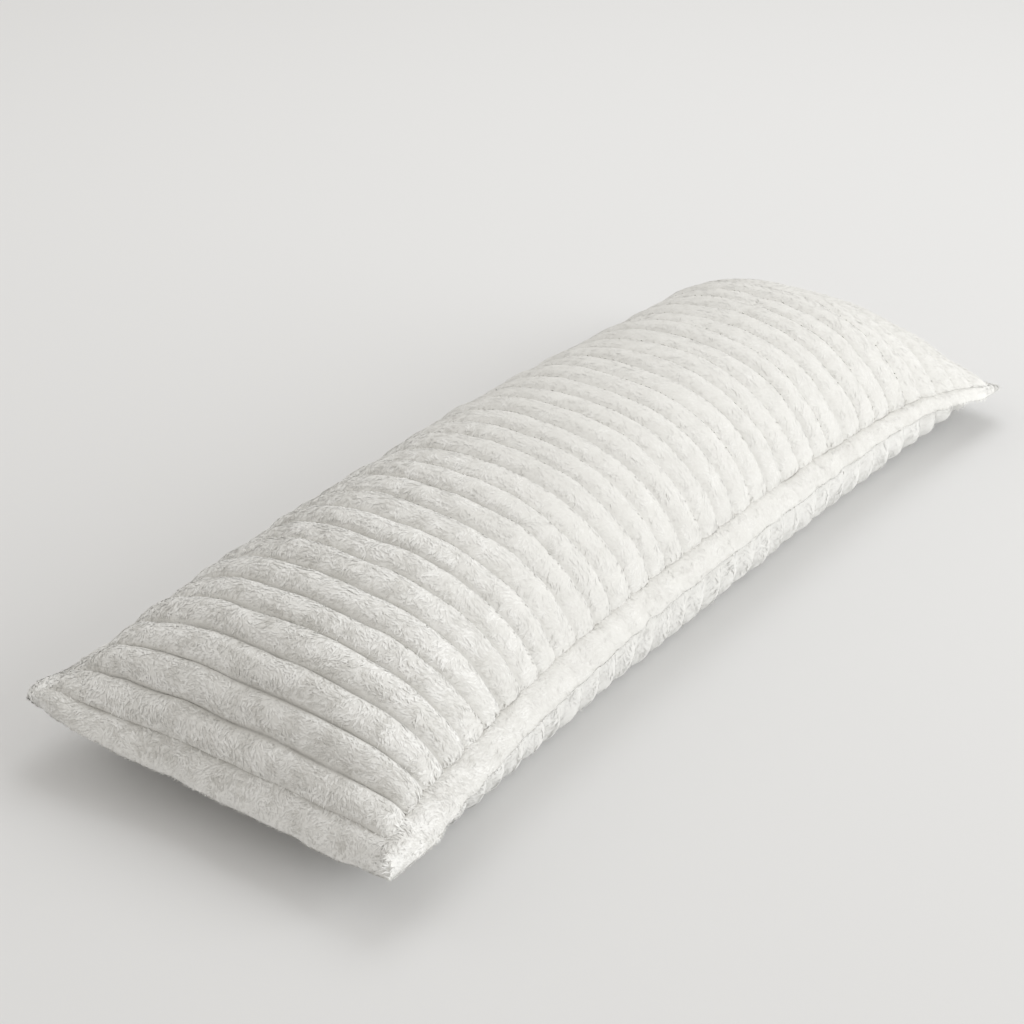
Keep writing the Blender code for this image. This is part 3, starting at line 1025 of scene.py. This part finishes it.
def plush_material(name, colours, bump, scale):
    """Plush pile: mottled ivory with painted light and shade from its attributes, soft sheen, and a
    combed nap in its bump.
    """
    material, tree, shader = new_material(name)
    place = node(tree, "ShaderNodeTexCoord").outputs["Object"]
    painted_light_tone, depth, curl = (
        node(tree, "ShaderNodeAttribute", attribute_name=attribute).outputs["Fac"]
        for attribute in ("tone", "tip", "curl")
    )
    tone = group_node(tree, "Plush Tone", plush_tone)
    feed(tree, tone.inputs, {"Vector": place, "Fleck": painted_light_tone, "Depth": depth})
    feed(tree, tone.inputs, {"Light": (*colours.light, 1.0), "Dark": (*colours.dark, 1.0)})
    nap = group_node(tree, "Combed Nap", combed_nap)
    feed(tree, nap.inputs, {"Vector": place, "Scale": scale})
    curled = math_node(tree, "ADD", math_node(tree, "MULTIPLY", curl, 1 - CALM_NAP), CALM_NAP)
    height = math_node(tree, "MULTIPLY", nap.outputs["Height"], curled)
    relief = node(tree, "ShaderNodeBump")
    feed(tree, relief.inputs, {"Strength": 1.0, "Distance": bump, "Height": height})
    colour, rough = tone.outputs["Colour"], tone.outputs["Roughness"]
    feed(tree, shader, {"Base Color": colour, "Roughness": rough, "Normal": relief.outputs[0]})
    feed(tree, shader, {"Specular IOR Level": 0.12, "Sheen Weight": 0.18, "Sheen Roughness": 0.55})
    return material


# ---- Settings ----


class PlushPileSettings(bpy.types.PropertyGroup):
    """Sizes of the pile that a user would change."""

    depth: FloatProperty(
        name="Pile Depth", description="From skin to tips", default=0.0030, unit="LENGTH"
    )
    lock_length: FloatProperty(
        name="Lock Length", description="Of an average lock", default=0.0085, unit="LENGTH"
    )
    lock_width: FloatProperty(
        name="Lock Width", description="Of an average lock", default=0.0023, unit="LENGTH"
    )
    locks_each_piece: IntProperty(
        name="Locks a Piece", description="In each of the pile's pieces", default=32800
    )


class PlushColours(bpy.types.PropertyGroup):
    """Colours of the plush that a user would change."""

    # The tips' and roots' colours are the light and dark ends of the pile's mottle, and of its
    # painted light and shade.
    light: FloatVectorProperty(
        name="Tips", description="Tips of the pile", default=(0.915, 0.912, 0.892), subtype="COLOR"
    )
    dark: FloatVectorProperty(
        name="Roots", description="Roots of the pile", default=(0.655, 0.645, 0.612), subtype="COLOR"
    )


class StudioSettings(bpy.types.PropertyGroup):
    """The floor, the light and the camera."""

    floor: FloatVectorProperty(
        name="Floor", description="Floor and backdrop", default=(0.755,) * 3, subtype="COLOR"
    )
    key: FloatProperty(name="Key Light", description="In watts", default=204.0, unit="POWER")
    top: FloatProperty(name="Top Light", description="In watts", default=32.0, unit="POWER")
    back: FloatProperty(name="Back Light", description="In watts", default=13.0, unit="POWER")
    sky: FloatProperty(name="Sky", description="Strength of the light all round", default=0.64)
    lens: FloatProperty(name="Lens", description="Focal length", default=90.94, unit="CAMERA")


# ---- Operators ----


def shade_skin(skin, points, pressed):
    """Gives a skin the pile's attributes, with painted shade where it is pressed together in the
    creases.
    """
    pressed = faded(pressed, points)
    add_attribute(skin, "curl", lively(points))
    # The skin, under the locks, gets the painted shade of the pile's middle depth.
    add_attribute(skin, "tip", 0.5 * (1 - pressed))
    # The tone carries painted light, and painted shade in the creases.
    add_attribute(skin, "tone", tone_with_painted_light(points) * (1 - CREASE_PAINTED_SHADE * pressed))


def finished(piece, material):
    """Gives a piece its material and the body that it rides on."""
    piece.data.materials.append(material)
    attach(piece, BODY)


class PILLOW_OT_body(bpy.types.Operator):
    """The filled, ribbed body: top and bottom panels sewn along the seam"""

    bl_idname = "pillow.body"
    bl_label = "Body"

    def execute(self, context):
        place, line, skins = body_skins(context.scene.plush_pile.depth)
        used, faces = sewn_faces(place)
        points = np.stack([skin.points for skin in skins]).reshape(-1, 3)[used]
        body = mesh_from("pillow_body", points, faces)
        shown = np.stack([soft_facing(skin.normal, skin.facing, skin.points) for skin in skins])
        rim = rim_of(place)
        shown[:, rim] = shown[:, rim].mean(axis=0)
        set_normals(body, shown.reshape(-1, 3)[used][faces])
        # The creases, for painted shade on the skin.
        pressed = crease(place, line).ravel()
        pressed = np.concatenate([pressed, UNDER_CREASE * pressed])[used]
        shade_skin(body, points, pressed)
        colours = context.scene.plush_colours
        finished(body, plush_material("Body Plush", colours, *CLOTH_NAP))
        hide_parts("pillow")
        return {"FINISHED"}


class PILLOW_OT_flange(bpy.types.Operator):
    """The flange round the seam: the margins of both panels, lobed like the ribs"""

    bl_idname = "pillow.flange"
    bl_label = "Flange"

    def execute(self, context):
        points, place, edge = flange_grid(context.scene.plush_pile.depth)
        rows, columns = points.shape[:2]
        index = np.arange(rows * columns).reshape(rows, columns)
        index = np.pad(index, ((0, 1), (0, 1)), mode="wrap")
        points = points.reshape(-1, 3)
        flange = mesh_from("pillow_flange", points, grid_faces(index))
        # Painted shade along the flange's seam.
        pressed = flange_crease_shade(points, place.ravel(), edge.ravel())
        shade_skin(flange, points, pressed)
        bpy.ops.object.select_all(action="DESELECT")
        flange.select_set(True)
        context.view_layer.objects.active = flange
        bpy.ops.object.mode_set(mode="EDIT")
        bpy.ops.mesh.select_all(action="SELECT")
        bpy.ops.mesh.normals_make_consistent(inside=False)
        bpy.ops.object.mode_set(mode="OBJECT")
        colours = context.scene.plush_colours
        finished(flange, plush_material("Flange Plush", colours, *CLOTH_NAP))
        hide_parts("flange")
        return {"FINISHED"}


def body_density(points, normal, place, edge):
    """Fewer locks deep in the channels and underneath, where little shows."""
    resting = ramp(points[..., 2], *UNDERSIDE) * ramp(normal[..., 2], *FACING_DOWN)
    open_share = 1 - CREASE_LESS * faded(crease(place, edge), points)
    along = 1 + NEAR_MORE - ALONG_LESS * ramp(points[..., 0], *ALONG)
    return (1 - UNDERSIDE_LESS * resting) * open_share * along


class PILLOW_OT_body_pile(bpy.types.Operator):
    """The pile of the top and bottom panels, in pieces along the pillow"""

    bl_idname = "pillow.body_pile"
    bl_label = "Body Pile"

    def execute(self, context):
        pile = context.scene.plush_pile
        skins = body_skins(pile.depth)[2]
        rng = np.random.default_rng(7)
        weights = [np.sum(skin.weights(body_density)) for skin in skins]
        grown = []
        for skin, weight in zip(skins, weights):
            count = int(pile.locks_each_piece * len(PILE_PIECES) * weight / sum(weights))
            roots = skin.roots(count, body_density, rng)
            edge = roots["edge"]
            rim = ramp(abs(edge), *BODY_RIM) * np.sign(edge) * RIM_LEAN
            rim *= np.sign(np.sum(roots["over"][:, 1] * edge))
            far = ramp(roots["points"][:, 0], *FAR_END)
            away = roots["along"] * FAR_LEAN * far[:, None] - roots["over"] * rim[:, None]
            roots["lay"] = lay_of(roots, roots["place"], away, rng)
            depth = 1.0 if skin is skins[0] else UNDER_CREASE
            # Shorter locks and painted shade in the creases.
            roots["pressed"] = depth * crease(roots["place"], edge)
            roots["wisp"] = wisps(far, rng)
            grown.append(roots)
        roots = {name: np.concatenate([part[name] for part in grown]) for name in grown[0]}
        order = np.argsort(roots["points"][:, 0], kind="stable")
        material = plush_material("Body Pile", context.scene.plush_colours, *LOCK_NAP)
        for name, chosen in zip(PILE_PIECES, np.array_split(order, len(PILE_PIECES))):
            part = {key: values[chosen] for key, values in roots.items()}
            usual = (pile.lock_length, pile.lock_width, pile.depth)
            sizes = [drawn(*size, part["pressed"], rng) for size in zip(usual, BODY_LOCKS)]
            finished(grow_locks(name, part, *sizes, rng), material)
        return {"FINISHED"}


def drawn(usual, draws, pressed, rng):
    """A size of each lock, drawn between two shares of the usual one, less where pressed."""
    low, high, less = draws
    return usual * rng.uniform(low, high, len(pressed)) * (1 - less * pressed)


def wisps(share, rng):
    """Extra height of single locks that stand out, as much as this share says."""
    chosen = rng.uniform(0, 1, len(share)) < WISP_CHANCE
    return WISP * share * chosen * rng.uniform(WISP_LEAST, 1, len(share))


def corner_tuft(points):
    """1 at the flange's corners, where its pile stands out in tufts, and 0 away from them."""
    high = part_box("flange")[1]
    return ramp(abs(points[..., 0]) / high.x * abs(points[..., 1]) / high.y, *CORNER_TUFT)


def flange_density(points, normal, place, edge):
    """None inside the seam, where the flange meets the body, and most at the corners."""
    return ease(edge / FLANGE_ROOT) * (1 + TUFT_DENSITY * corner_tuft(points))


class PILLOW_OT_flange_pile(bpy.types.Operator):
    """The flange's pile, longer at the corners"""

    bl_idname = "pillow.flange_pile"
    bl_label = "Flange Pile"

    def execute(self, context):
        pile = context.scene.plush_pile
        points, place, edge = flange_grid(pile.depth)
        rng = np.random.default_rng(11)
        skin = Skin(points, place, edge, closed=True)
        roots = skin.roots(pile.locks_each_piece, flange_density, rng)
        foot = roots["points"]
        # Painted shade along the flange's seam.
        roots["pressed"] = flange_crease_shade(foot, roots["place"], roots["edge"])
        out = unit(foot * (1, 1, 0) - foot.mean(axis=0))
        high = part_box("flange")[1]
        above = ramp(roots["normal"][:, 2], *FACING_UP)
        tuft = corner_tuft(foot) * above
        far = ramp(foot[:, 0] / high.x, *FLANGE_FAR) * above
        behind = ramp(foot[:, 1] / high.y, *FLANGE_BACK) * (1 - tuft)
        places = np.stack([tuft * (foot[:, 0] < 0), tuft, far, behind], axis=1)
        longer, lean, fluff = (places @ FLANGE_PLACES).T
        away = out * (FLANGE_LEAN + lean)[:, None] - np.array([0, 0, FLANGE_SAG])
        roots["lay"] = lay_of(roots, np.full(len(foot), 0.5), away, rng)
        rim = ramp(roots["edge"], *FLANGE_RIM) * (1 - np.maximum(tuft, far))
        length = drawn(pile.lock_length, FLANGE_LOCKS[0], rim, rng) * (1 + longer)
        width = drawn(pile.lock_width, FLANGE_LOCKS[1], rim, rng)
        roots["wisp"] = wisps(FLANGE_WISP * far * (1 - tuft), rng)
        height = drawn(pile.depth, FLANGE_LOCKS[2], rim, rng) * (1 + fluff)
        height *= UNDER_FLUFF + (1 - UNDER_FLUFF) * above
        locks = grow_locks("pile_flange", roots, length, width, height, rng)
        material = plush_material("Flange Pile", context.scene.plush_colours, *LOCK_NAP)
        finished(locks, material)
        return {"FINISHED"}


class PILLOW_OT_studio(bpy.types.Operator):
    """A wide pale floor, soft light, and the camera"""

    bl_idname = "pillow.studio"
    bl_label = "Studio"

    def execute(self, context):
        studio = context.scene.studio
        bpy.ops.object.select_all(action="DESELECT")
        bpy.ops.mesh.primitive_plane_add(size=40, location=(0, 0, 0))
        floor = context.active_object
        floor.name = "studio_floor"
        material, tree, shader = new_material("Studio Floor")
        colour = (*studio.floor, 1.0)
        feed(tree, shader, {"Base Color": colour, "Roughness": 0.9, "Specular IOR Level": 0.1})
        floor.data.materials.append(material)
        self.light(context)
        self.camera(context)
        return {"FINISHED"}

    def light(self, context):
        studio = context.scene.studio
        world = bpy.data.worlds.new("Studio")
        world.use_nodes = True
        background = world.node_tree.nodes["Background"]
        background.inputs["Color"].default_value = SKY_COLOUR
        background.inputs["Strength"].default_value = studio.sky
        context.scene.world = world
        for name, place, size in LAMPS:
            lamp = bpy.data.lights.new(name, "AREA")
            lamp.shape = "DISK"
            lamp.size = size
            lamp.energy = getattr(studio, name)
            lamp.color = LAMP_COLOUR
            holder = bpy.data.objects.new(name, lamp)
            holder.location = place
            aim = Vector(LAMP_AIM) - Vector(place)
            holder.rotation_euler = aim.to_track_quat("-Z", "Y").to_euler()
            context.scene.collection.objects.link(holder)

    def camera(self, context):
        lens = bpy.data.cameras.new("camera")
        lens.sensor_width = 36.0
        lens.lens = context.scene.studio.lens
        lens.clip_start = 0.05
        lens.clip_end = 60.0
        holder = bpy.data.objects.new("camera", lens)
        level = math.cos(CAMERA_DIP)
        aim = (math.cos(CAMERA_TURN) * level, math.sin(CAMERA_TURN) * level, -math.sin(CAMERA_DIP))
        turn = Vector(aim).to_track_quat("-Z", "Y").to_matrix().to_4x4()
        holder.matrix_world = Matrix.Translation(CAMERA_PLACE) @ turn
        context.scene.collection.objects.link(holder)
        context.scene.camera = holder
        context.scene.view_settings.view_transform = "Standard"


class VIEW3D_PT_pillow(bpy.types.Panel):
    """Lists the pillow's operators and settings"""

    bl_label = "Body Pillow"
    bl_idname = "VIEW3D_PT_pillow"
    bl_space_type = "VIEW_3D"
    bl_region_type = "UI"
    bl_category = "Pillow"

    def draw(self, context):
        layout = self.layout
        for group, kind in SETTINGS:
            box = layout.box()
            for name in kind.__annotations__:
                box.prop(getattr(context.scene, group), name)
        for operator in OPERATORS:
            layout.operator(operator.bl_idname)


SETTINGS = (
    ("plush_pile", PlushPileSettings),
    ("plush_colours", PlushColours),
    ("studio", StudioSettings),
)
OPERATORS = (
    PILLOW_OT_body,
    PILLOW_OT_flange,
    PILLOW_OT_body_pile,
    PILLOW_OT_flange_pile,
    PILLOW_OT_studio,
)


def register():
    for name, settings in SETTINGS:
        bpy.utils.register_class(settings)
        setattr(bpy.types.Scene, name, PointerProperty(type=settings))
    for operator in OPERATORS:
        bpy.utils.register_class(operator)
    bpy.utils.register_class(VIEW3D_PT_pillow)


def unregister():
    bpy.utils.unregister_class(VIEW3D_PT_pillow)
    for operator in reversed(OPERATORS):
        bpy.utils.unregister_class(operator)
    for name, settings in reversed(SETTINGS):
        delattr(bpy.types.Scene, name)
        bpy.utils.unregister_class(settings)


def main():
    register()
    bpy.ops.pillow.body()
    bpy.ops.pillow.flange()
    bpy.ops.pillow.body_pile()
    bpy.ops.pillow.flange_pile()
    bpy.ops.pillow.studio()


if __name__ == "__main__":
    main()
